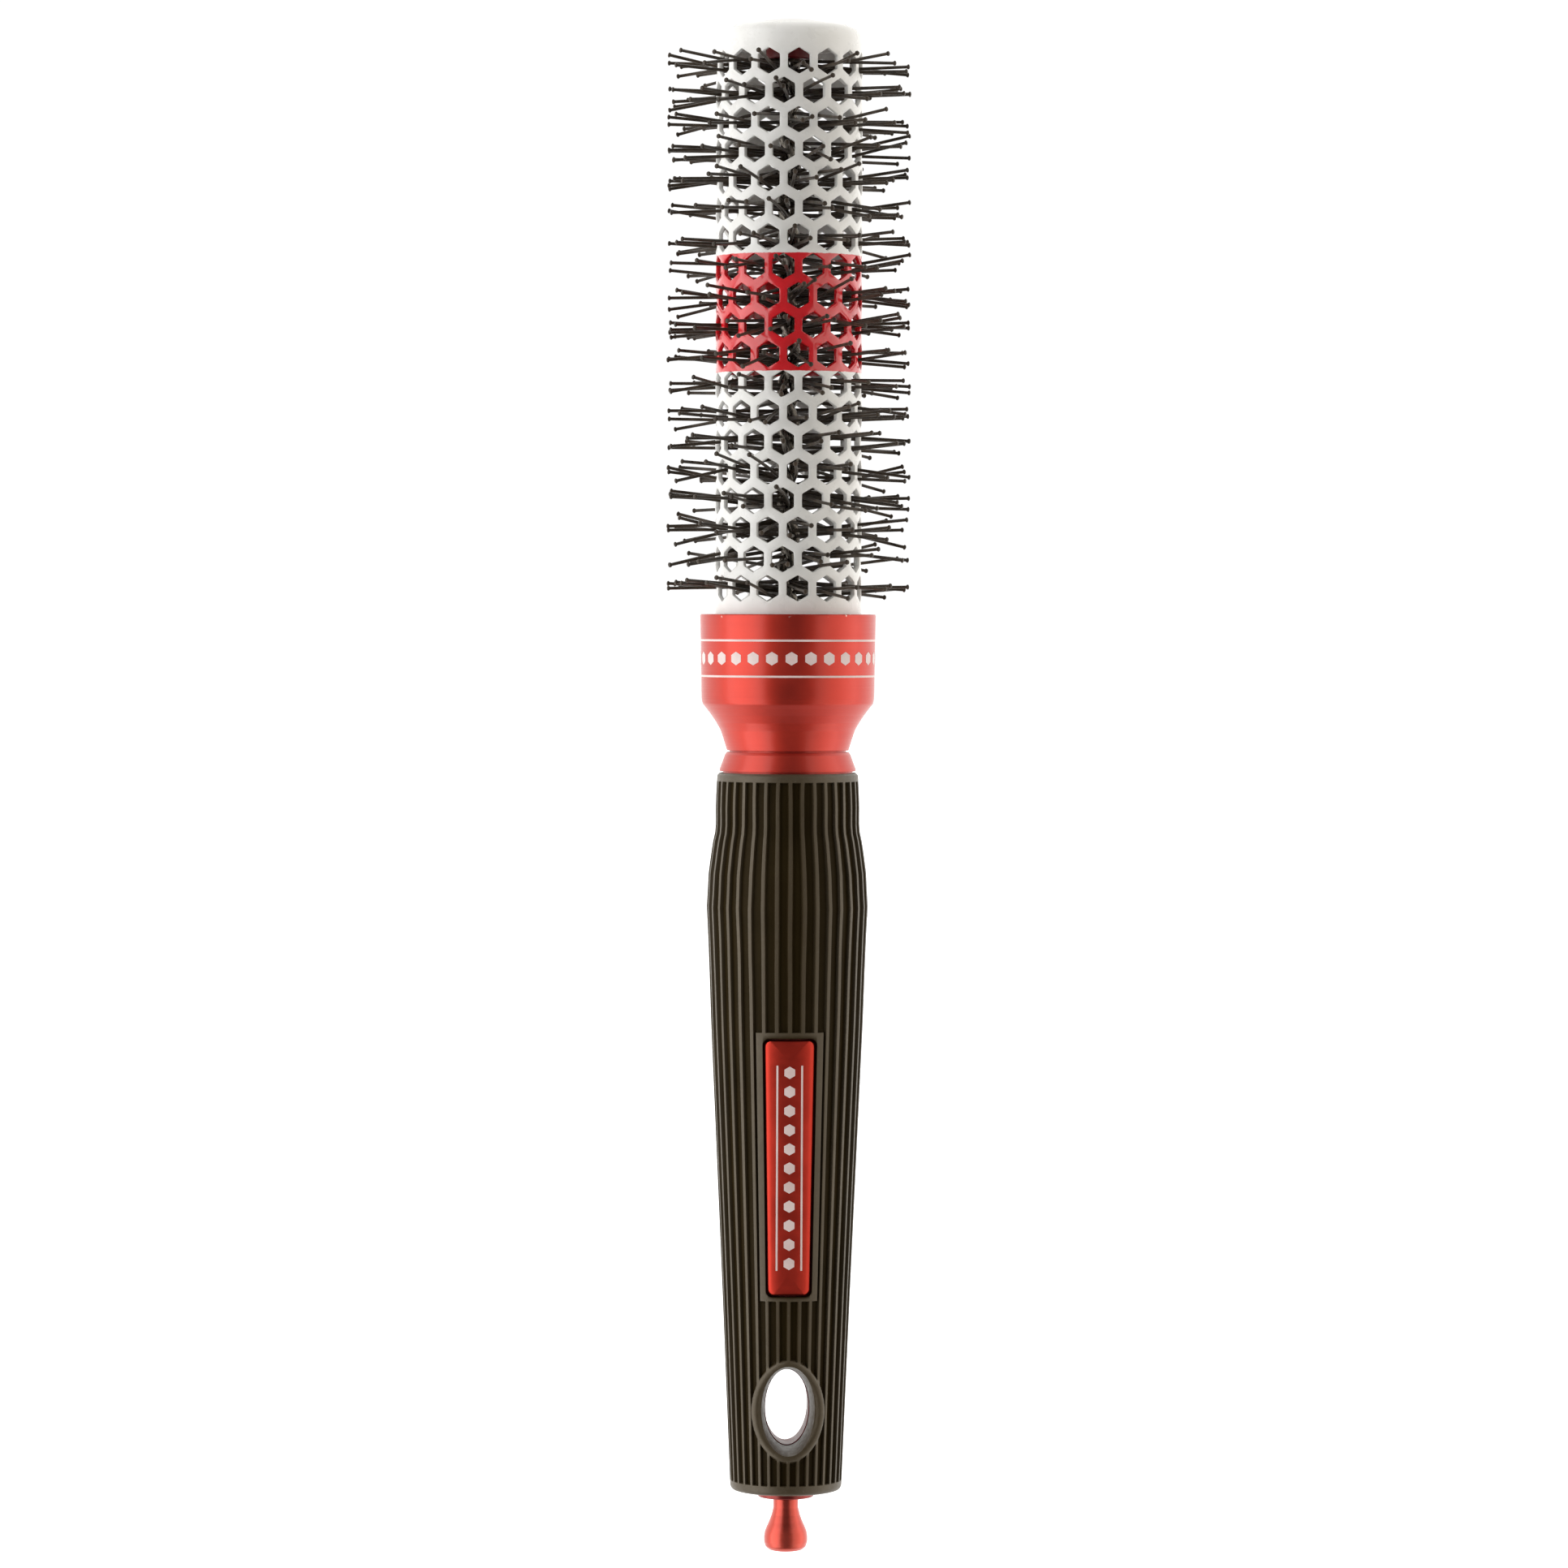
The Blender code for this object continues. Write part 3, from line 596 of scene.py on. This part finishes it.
def make_grip():
    stops = (-0.24, -0.18, -0.13, -0.06, 0.06, 0.13, 0.18, 0.24, 0.37, 0.5, 0.63)
    columns = [(360.0 / RIBS * (j + p), p if p <= 0.5 else p - 1.0) for j in range(RIBS) for p in stops]
    levels = [10.65, 10.75, 10.9, 11.1, 11.35, 11.65, 12.3, 12.4, 12.5, 12.7]
    levels += [14.1 + 0.26 * i for i in range(int((35.8 - 14.1) / 0.26))]
    levels += [38.0, 41.0, 43.7, 43.9, 43.96, 44.04, 44.1, 44.4]
    levels += [45.1 + 4.3 * i for i in range(11)]
    levels += [89.5, 89.83, 89.89, 89.97, 90.03, 90.3, 92.0, 95.0, 99.0]
    levels += [101.0 + 1.4 * i for i in range(20)]
    levels += [129.5, 131.8, 132.0, 132.1, 132.2, 132.6, 133.0, 133.2, 133.35, 133.5, 133.6]
    levels = sorted(set(round(z, 3) for z in levels))
    verts, crest, faces = [], [], []
    for z in levels:
        for column, (angle, p) in enumerate(columns):
            r, c = grip_height(angle, z, p)
            j = column // len(stops)
            here, ahead = rib_drift(j, z), rib_drift(j + 1, z)
            share = max(0.0, min(1.0, (stops[column % len(stops)] - 0.24) / 0.52))
            t = math.radians(angle + here + (ahead - here) * share)
            verts.append((r * math.sin(t), -r * math.cos(t), z))
            crest.append(c)
    n = len(columns)
    for i in range(len(levels) - 1):
        for j in range(n):
            k = (j + 1) % n
            faces.append((i * n + j, i * n + k, (i + 1) * n + k, (i + 1) * n + j))
    for level, z, flip in ((0, GRIP_FOOT_Z, True), (len(levels) - 1, GRIP_TOP_Z, False)):
        verts.append((0.0, 0.0, z))
        crest.append(1.0)
        hub = len(verts) - 1
        for j in range(n):
            k = (j + 1) % n
            a, b = level * n + j, level * n + k
            faces.append((hub, b, a) if flip else (hub, a, b))
    grip = build("grip", verts, faces, rubber, 40.0, attribute=("crest", crest))

    # inside: the cavity round the core, with flats beside the hole
    top_z, top_r = CORE_PROFILE[0]
    foot_z, foot_r = CORE_PROFILE[-1]
    profile = [(0, top_z + 3), (top_r + FIT_GAP, top_z + 3)]
    profile += [(r + FIT_GAP, z) for z, r in CORE_PROFILE[1:-1]]
    profile += [(foot_r + FIT_GAP, foot_z - FIT_GAP), (1.9, foot_z - FIT_GAP), (1.9, 8.0), (0, 8.0)]
    cavity = cutter_from("cut_cavity", *lathe_data(profile, False, 72))
    for sign in (-1, 1):
        ys = sorted((sign * (TANG_HALF + FIT_GAP), sign * 14.0))
        cut(cavity, block("cut_flat", (-12, 12), ys, (EYE_Z - 9.0, EYE_Z + 9.0)))
    cut(grip, cavity)
    flare = (EYE_MOUTH[0] + 0.9, EYE_MOUTH[1] + 0.9)
    stations = [(-14.0, flare), (-10.0, EYE_MOUTH), (-8.0, (4.42, 7.1)), (-5.6, (4.02, 6.78)), (-3.2, EYE_THROAT)]
    stations += [(-y, size) for y, size in reversed(stations)]
    cut(grip, cutter_from("cut_mouth", *loft([eye_ring(a, b, y) for y, (a, b) in stations])))
    cut(grip, window_cutter())
    # the wall of the hole is moulded smooth, like a crest, and takes most of the crests' paler tone, which is partly
    # painted light
    shade = grip.data.attributes["crest"].data
    for v in grip.data.vertices:
        if math.hypot(v.co.x / MM / 5.1, (v.co.z / MM - EYE_Z) / 7.95) < 1.0:
            shade[v.index].value = 0.85
    grip.data.polygons.foreach_set("use_smooth", [True] * len(grip.data.polygons))
    grip.data.set_sharp_from_angle(angle=math.radians(40.0))
    return piece(grip, "grip_sleeve", "grip_sleeve")


def eye_ring(a, b, y, n=96):
    return [(a * math.cos(TAU * i / n), y, EYE_Z + b * math.sin(TAU * i / n)) for i in range(n)]


def block(name, xs, ys, zs):
    verts = [(x, y, z) for x in xs for y in ys for z in zs]
    faces = [(0, 1, 3, 2), (4, 6, 7, 5), (0, 4, 5, 1), (2, 3, 7, 6), (0, 2, 6, 4), (1, 5, 7, 3)]
    return cutter_from(name, verts, faces)


def rounded_outline(half_low, half_high, low, high, radius, steps=6):
    """A tapered upright window outline with rounded corners, anticlockwise from the lower right."""
    points = []
    for x, z, start in ((half_low, low, -90), (half_high, high, 0), (-half_high, high, 90), (-half_low, low, 180)):
        cx = x - math.copysign(radius, x)
        cz = z + radius if z == low else z - radius
        for i in range(steps + 1):
            t = math.radians(start + 90 * i / steps)
            points.append((cx + radius * math.cos(t), cz + radius * math.sin(t)))
    return points


def window_cutter():
    low, high = WINDOW_Z
    s = math.sin(math.radians(WINDOW_HALF))
    outline = rounded_outline(table_at(GRIP_PROFILE, low) * s, table_at(GRIP_PROFILE, high) * s, low, high, 1.15)
    return cutter_from("cut_window", *loft([[(x, y, z) for x, z in outline] for y in (-16.0, -5.0)]))


def badge_point(x, z, sink):
    """A point on the badge's face, x across it, sunk below its crown by sink."""
    r = table_at(GRIP_PROFILE, z) - 0.45 - sink
    a = math.asin(max(-0.9, min(0.9, x / r)))
    return (r * math.sin(a), -r * math.cos(a), z)


def make_badge():
    low, high = BADGE_Z
    s = math.sin(math.radians(BADGE_HALF))
    half_low, half_high = (table_at(GRIP_PROFILE, low) - 0.45) * s, (table_at(GRIP_PROFILE, high) - 0.45) * s
    outline = rounded_outline(half_low, half_high, low, high, 1.05, 8)
    middle, tall, wide = (low + high) / 2, (high - low) / 2, min(half_low, half_high)
    rings = []
    for inset, sink in ((0.0, 1.3), (0.0, 0.22), (0.03, 0.10), (0.10, 0.03), (0.22, 0.0), (0.8, 0.0), (1.6, 0.0), (2.4, 0.0), (3.2, 0.0), (wide, 0.0)):
        fx, fz = 1 - inset / wide, 1 - inset / tall
        rings.append([badge_point(x * fx, middle + (z - middle) * fz, sink) for x, z in outline])
    n = len(outline)
    verts = [p for ring in rings for p in ring]
    faces = []
    for i in range(len(rings) - 1):
        for j in range(n):
            k = (j + 1) % n
            faces.append((i * n + j, i * n + k, (i + 1) * n + k, (i + 1) * n + j))
    faces.append(tuple(reversed(range(n))))
    return piece(build("badge", verts, faces, red_badge, 34.0), "badge_plate", "badge_plate")


def printed(name, strips, surface, slot):
    """Thin raised print: each strip is a list of (left, right) point pairs, closed or open."""
    verts, faces = [], []
    for pairs, closed in strips:
        base, n = len(verts), len(pairs)
        for left, right in pairs:
            for x, z in (left, right):
                verts.append(surface(x, z, -0.03))
                verts.append(surface(x, z, 0.03))
        for i in range(n if closed else n - 1):
            a, b = base + 4 * i, base + 4 * ((i + 1) % n)
            faces += [(a, a + 2, b + 2, b), (a + 3, a + 1, b + 1, b + 3), (a + 1, a, b, b + 1), (a + 2, a + 3, b + 3, b + 2)]
        if not closed:
            end = base + 4 * (n - 1)
            faces += [(base, base + 1, base + 3, base + 2), (end, end + 2, end + 3, end + 1)]
    return piece(build(name, verts, faces, print_white, 30.0, weld=False), slot)


def bar_strip(x0, x1, z0, z1, steps=12):
    return [((x0, z0 + (z1 - z0) * i / steps), (x1, z0 + (z1 - z0) * i / steps)) for i in range(steps + 1)], False


def dots(name, centres, size, surface, slot):
    """Solid hexagons that follow the surface, 0.03 mm proud of it."""
    verts, faces = [], []
    for cx, cz in centres:
        base = len(verts)
        for sink in (-0.03, 0.03):
            for scale in (1.0, 0.66, 0.33):
                for i in range(12):
                    # corners and the middles of the flats
                    t = math.radians(90 + 30 * i)
                    r = size * scale * (1.0 if i % 2 == 0 else math.cos(math.radians(30)))
                    verts.append(surface(cx + r * math.cos(t), cz + r * math.sin(t), sink))
            verts.append(surface(cx, cz, sink))
        for side in (0, 37):
            for ring in (0, 12):
                for i in range(12):
                    k = (i + 1) % 12
                    faces.append((base + side + ring + i, base + side + ring + k, base + side + ring + 12 + k, base + side + ring + 12 + i))
            for i in range(12):
                faces.append((base + side + 24 + i, base + side + 24 + (i + 1) % 12, base + side + 36))
        for i in range(12):
            k = (i + 1) % 12
            faces.append((base + i, base + 37 + i, base + 37 + k, base + k))
    return piece(build(name, verts, faces, print_white, 30.0, weld=False), slot)


def collar_point(x, z, sink):
    r = 14.88 + (z - 154.8) * (0.0211 if z > 154.8 else 0.0127) - sink
    a = x / 14.8
    return (r * math.sin(a), -r * math.cos(a), z)


def collar_rule(z, width, steps=240):
    around = [TAU * i / steps * 14.8 for i in range(steps)]
    return [((x, z + width / 2), (x, z - width / 2)) for x in around], True


def make_prints():
    # a plain row of solid hexagons between two straight rules, on the badge and round the collar
    printed("badge_rules", [bar_strip(x - 0.16, x + 0.16, 49.3, 84.3, 40) for x in (-2.1, 2.1)], badge_point, "badge_plate")
    dots("badge_dots", [(0.0, 50.5 + 3.26 * i) for i in range(11)], 1.05, badge_point, "badge_plate")
    printed("collar_rules", [collar_rule(z, 0.34) for z in (156.25, 150.15)], collar_point, "collar_cup")
    dots("collar_dots", [(TAU * i / 28 * 14.8, 153.2) for i in range(28)], 1.15, collar_point, "collar_cup")


# ------------------------------------------------------------------ turned pieces
def make_turned():
    piece(lathe("end_crown", [
        (0, 262.0), (2.6, 262.0, 0.8), (4.4, 261.75, 0.8), (6.4, 261.4, 1.5), (8.2, 261.05, 0.2), (8.5, 260.9, 0.15), (8.5, 259.7, 0.1),
        (10.2, 259.7, 0.1), (11.0, 259.2, 0.2), (11.35, 258.5, 0.2), (11.35, 257.2, 0.1), (10.2, 257.2, 0.1),
        (10.2, 258.4), (4.3, 258.4), (4.3, 260.2), (0, 260.2),
    ], cap_white, closed=False), "end_cap", "end_cap")
    piece(lathe("wire_socket", [
        (0, 259.9), (4.0, 259.9, 0.1), (4.0, 255.2, 0.4), (2.5, 255.2, 0.1), (2.5, 257.8), (0, 257.8),
    ], plug_red, closed=False, seg=72), "end_plug", "end_plug")
    piece(lathe("collar", [
        (12.85, 160.7, 0.15), (14.87, 160.7, 0.12), (15.0, 160.5, 0.2), (14.88, 154.8, 9.0), (14.79, 147.7, 9.0),
        (14.74, 146.3, 2.0), (14.58, 145.45, 0.7), (13.97, 144.7, 1.5), (13.07, 143.5, 3.0), (12.2, 142.2, 3.0),
        (11.5, 140.85, 3.0), (11.03, 139.45, 3.0), (10.69, 138.35, 2.0), (10.4, 137.45, 0.1), (6.3, 137.45),
        (6.3, 147.1), (12.85, 147.1),
    ], red_collar, seg=192), "collar_cup", "collar_cup")
    piece(lathe("ferrule", [
        (6.3, 137.42), (9.95, 137.42), (9.95, 137.15), (10.45, 137.15, 0.06), (10.76, 136.7, 0.3), (11.26, 135.3),
        (11.67, 134.2, 0.2), (11.65, 133.9, 0.1), (11.1, 133.9), (11.1, 133.62), (6.3, 133.62),
    ], red_ferrule, seg=192), "ferrule_ring", "ferrule_ring")
    piece(lathe("tail_disc", [
        (1.85, 10.35), (4.7, 10.35, 0.1), (4.8, 10.2, 0.1), (4.8, 9.55, 0.1), (4.65, 9.4, 0.1), (1.85, 9.4),
    ], red_washer), "tail_washer", "tail_washer")
    tail = [
        (0, 17.1), (1.5, 17.1, 0.2), (1.5, 9.2), (2.13, 9.1, 0.2), (2.14, 7.5, 1.0), (2.42, 6.3, 1.5), (2.88, 5.05, 1.5),
        (3.28, 4.2, 1.5), (3.59, 3.4, 1.2), (3.74, 2.5, 1.2), (3.73, 1.65, 1.0), (3.48, 0.8, 0.8), (2.85, 0.25, 0.6), (1.7, 0.0, 0.5), (0, 0.0),
    ]
    piece(lathe("tail_bulb", tail, red_tail, closed=False, angle=50.0), "tail_tip", "tail_tip")

    top = 147.0
    core = lathe("core", [
        (0, top), (6.0, top, 0.2), (6.0, 133.6), *[(r, z) for z, r in CORE_PROFILE],
        (1.8, 13.6), (1.8, 17.5), (0, 17.5),
    ], core_red, closed=False, seg=72)
    cut(core, cutter_from("cut_bore", *lathe_data([(0, 149.0), (2.5, 149.0), (2.5, 123.0), (0, 123.0)], False, 48)))
    for sign in (-1, 1):
        ys = sorted((sign * TANG_HALF, sign * 14.0))
        cut(core, block("cut_tang", (-12, 12), ys, (EYE_Z - 9.3, EYE_Z + 9.3)))
    cut(core, cutter_from("cut_eye", *loft([eye_ring(EYE_THROAT[0] - 0.1, EYE_THROAT[1] - 0.1, y) for y in (-9.0, 9.0)])))
    core.data.polygons.foreach_set("use_smooth", [True] * len(core.data.polygons))
    core.data.set_sharp_from_angle(angle=math.radians(35.0))
    piece(core, "handle_core", "handle_core")


# ------------------------------------------------------------------ the object
make_barrel()
make_wire("wire_a", 0.0, "core_wire_a")
make_wire("wire_b", math.pi, "core_wire_b")
for row in range(1, ROWS + 1):
    make_bristle_row(row)
make_turned()
make_grip()
make_badge()
make_prints()
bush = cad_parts["barrel_bush"]
bush.data.materials.clear()
bush.data.materials.append(bush_white)
bpy.data.materials.remove(scratch)


# ------------------------------------------------------------------ studio
def stage_floor():
    """A plain white floor. It is lit evenly and sends no light of its own onto the brush."""
    mesh = bpy.data.meshes.new("studio_floor")
    size, z = 8.0, -0.003
    mesh.from_pydata([(-size, -size, z), (size, -size, z), (size, size, z), (-size, size, z)], [], [(0, 1, 2, 3)])
    m = Nodes("studio_floor", roughness=0.9)
    m.set("Base Color", (0.93, 0.93, 0.93))
    m.set("Emission Color", (1.0, 1.0, 1.0))
    m.set("Emission Strength", 0.7)
    mesh.materials.append(m.mat)
    floor = bpy.data.objects.new("studio_floor", mesh)
    bpy.context.scene.collection.objects.link(floor)
    floor.visible_diffuse = False
    floor.visible_glossy = False
    floor.visible_transmission = False
    floor.visible_shadow = False


def studio_world():
    """White all round for the camera; for light, white behind the object and dim in front."""
    world = bpy.data.worlds.new("studio")
    bpy.context.scene.world = world
    world.use_nodes = True
    tree = world.node_tree
    tree.nodes.clear()
    out = tree.nodes.new("ShaderNodeOutputWorld")
    mix = tree.nodes.new("ShaderNodeMixShader")
    path = tree.nodes.new("ShaderNodeLightPath")
    seen = tree.nodes.new("ShaderNodeBackground")
    seen.inputs["Color"].default_value = (1.0, 1.0, 1.0, 1.0)
    seen.inputs["Strength"].default_value = 1.05
    lit = tree.nodes.new("ShaderNodeBackground")
    lit.inputs["Color"].default_value = (1.0, 0.99, 0.97, 1.0)
    coords = tree.nodes.new("ShaderNodeTexCoord")
    split = tree.nodes.new("ShaderNodeSeparateXYZ")
    ramp = tree.nodes.new("ShaderNodeMapRange")
    ramp.interpolation_type = "SMOOTHSTEP"
    for key, v in (("From Min", -0.60), ("From Max", 0.45), ("To Min", 0.16), ("To Max", 1.40)):
        ramp.inputs[key].default_value = v
    links = tree.links
    links.new(coords.outputs["Generated"], split.inputs[0])
    links.new(split.outputs["Y"], ramp.inputs["Value"])
    links.new(ramp.outputs["Result"], lit.inputs["Strength"])
    links.new(path.outputs["Is Camera Ray"], mix.inputs[0])
    links.new(lit.outputs[0], mix.inputs[1])
    links.new(seen.outputs[0], mix.inputs[2])
    links.new(mix.outputs[0], out.inputs["Surface"])


def softbox(name, azimuth, distance, height, size, radiance, color):
    """A rectangular softbox facing the brush; azimuth 0 is the camera's side."""
    light = bpy.data.lights.new(name, "AREA")
    light.shape = "RECTANGLE"
    light.size, light.size_y = size
    light.energy = radiance * math.pi * size[0] * size[1]
    light.color = color
    obj = bpy.data.objects.new(name, light)
    bpy.context.scene.collection.objects.link(obj)
    a = math.radians(azimuth)
    obj.location = (distance * math.sin(a), -distance * math.cos(a), height)
    aim = Vector((0.0, 0.0, 0.13)) - obj.location
    obj.rotation_mode = "QUATERNION"
    obj.rotation_quaternion = aim.to_track_quat("-Z", "Y")


def studio_camera():
    """A long lens 1.02 m off, at the height of the collar and looking slightly down."""
    data = bpy.data.cameras.new("camera")
    data.sensor_width = 36.0
    data.lens = 136.92
    data.clip_start, data.clip_end = 0.05, 30.0
    cam = bpy.data.objects.new("camera", data)
    bpy.context.scene.collection.objects.link(cam)
    turn = math.radians(2.3)
    side = Vector((math.cos(turn), -math.sin(turn), 0.0))
    out = Vector((-math.sin(turn), -math.cos(turn), 0.0))
    offset = side * (-0.00062)
    pitch = math.radians(1.591)
    cam.location = out * 1.02 + Vector((0.0, 0.0, 0.160)) + offset
    target = Vector((0.0, 0.0, 0.160 - 1.02 * math.tan(pitch))) + offset
    cam.rotation_mode = "QUATERNION"
    aim = (target - cam.location).to_track_quat("-Z", "Y")
    cam.rotation_quaternion = aim @ Quaternion((0.0, 0.0, 1.0), math.radians(0.15))
    bpy.context.scene.camera = cam


stage_floor()
studio_world()
softbox("key_left", -62.0, 0.75, 0.13, (0.80, 1.9), 1.82, (1.0, 0.995, 0.985))
softbox("fill_right", 68.0, 0.80, 0.13, (1.05, 1.9), 0.94, (1.0, 0.94, 0.85))
studio_camera()
bpy.context.scene.view_settings.view_transform = "Standard"
bpy.context.scene.view_settings.look = "None"
